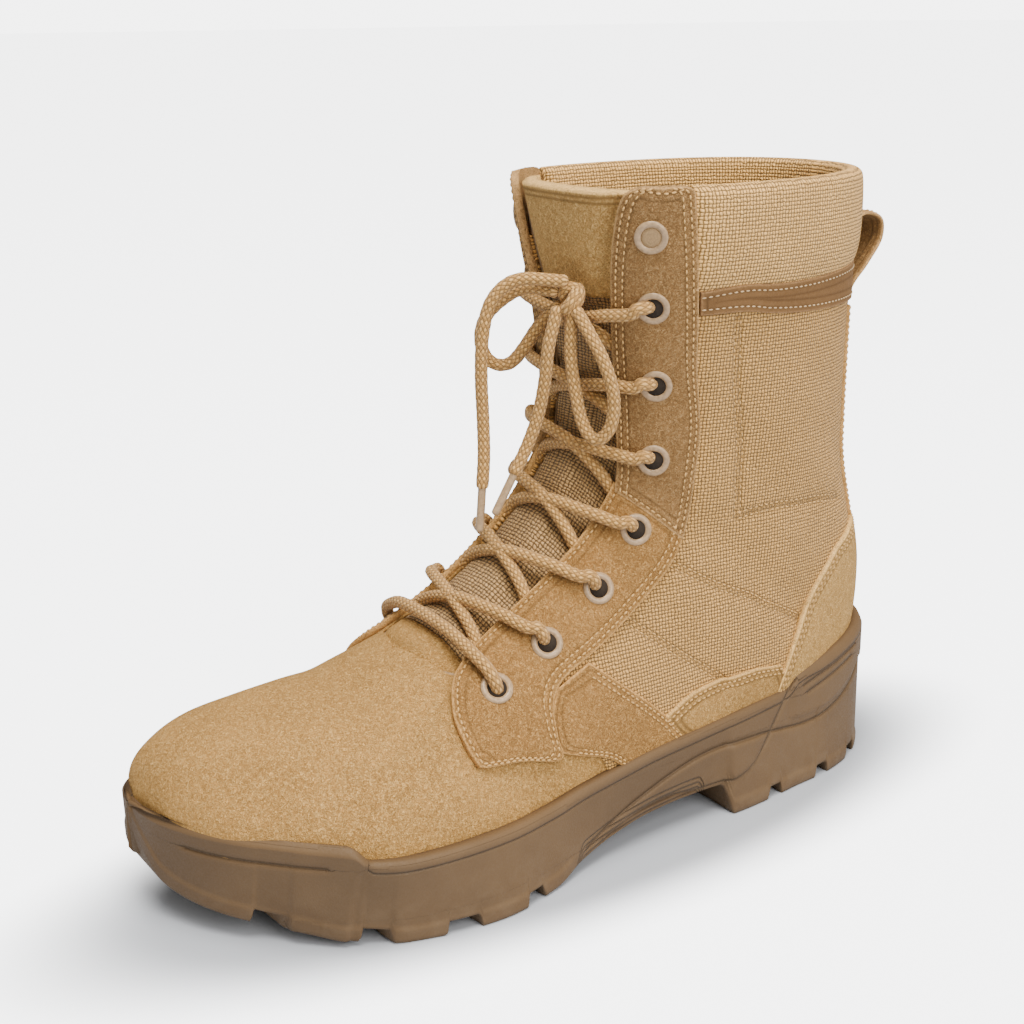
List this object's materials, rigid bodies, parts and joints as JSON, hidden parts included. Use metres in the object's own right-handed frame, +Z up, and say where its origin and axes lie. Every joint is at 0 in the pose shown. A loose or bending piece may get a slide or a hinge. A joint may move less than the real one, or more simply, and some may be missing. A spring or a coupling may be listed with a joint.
{
  "type": "combat boot",
  "caption": "Left lace-up combat boot with a padded collar, suede and canvas upper, moulded lug sole, pull loop and a tied bow, standing empty.",
  "frame": {"origin": "centre of the boot's bounding box in plan, without the lace's free ends, on the ground under the tread", "axes": "+Z up, toe towards -Y, outer side of the foot towards +X"},
  "size_m": [0.114, 0.3074, 0.2398],
  "materials": {
    "suede": "napped suede",
    "canvas": "coarse woven nylon",
    "rubber": "moulded, matte and dusty",
    "lining": "matte textile",
    "hardware": "satin coating, worn",
    "lace": "round braid"
  },
  "bodies": {
    "root": {"upper": "canvas", "outsole": "rubber", "insole": "lining", "tongue": "suede", "eyestay_upper_lateral": "suede", "eyestay_lower_lateral": "suede", "side_panel_lateral": "suede", "foxing_lateral": "suede", "eyestay_upper_medial": "suede", "eyestay_lower_medial": "suede", "side_panel_medial": "suede", "foxing_medial": "suede", "heel_counter": "suede", "backstay": "suede", "collar_tape": "suede", "collar_pad": "canvas", "pull_loop": "suede", "eyelet_lateral_1": "hardware", "eyelet_lateral_2": "hardware", "eyelet_lateral_3": "hardware", "eyelet_lateral_4": "hardware", "eyelet_lateral_5": "hardware", "eyelet_lateral_6": "hardware", "eyelet_lateral_7": "hardware", "stud_lateral": "hardware", "eyelet_medial_1": "hardware", "eyelet_medial_2": "hardware", "eyelet_medial_3": "hardware", "eyelet_medial_4": "hardware", "eyelet_medial_5": "hardware", "eyelet_medial_6": "hardware", "eyelet_medial_7": "hardware", "stud_medial": "hardware", "lace_bar": "lace", "lace_cross_1": "lace", "lace_cross_2": "lace", "lace_cross_3": "lace", "lace_cross_4": "lace", "lace_cross_5": "lace", "lace_cross_6": "lace", "lace_knot": "lace", "lace_loop_outer": "lace", "lace_loop_inner": "lace", "lace_end_outer": "lace", "lace_end_inner": "lace", "aglet_outer": "hardware", "aglet_inner": "hardware"}
  },
  "joints": []
}
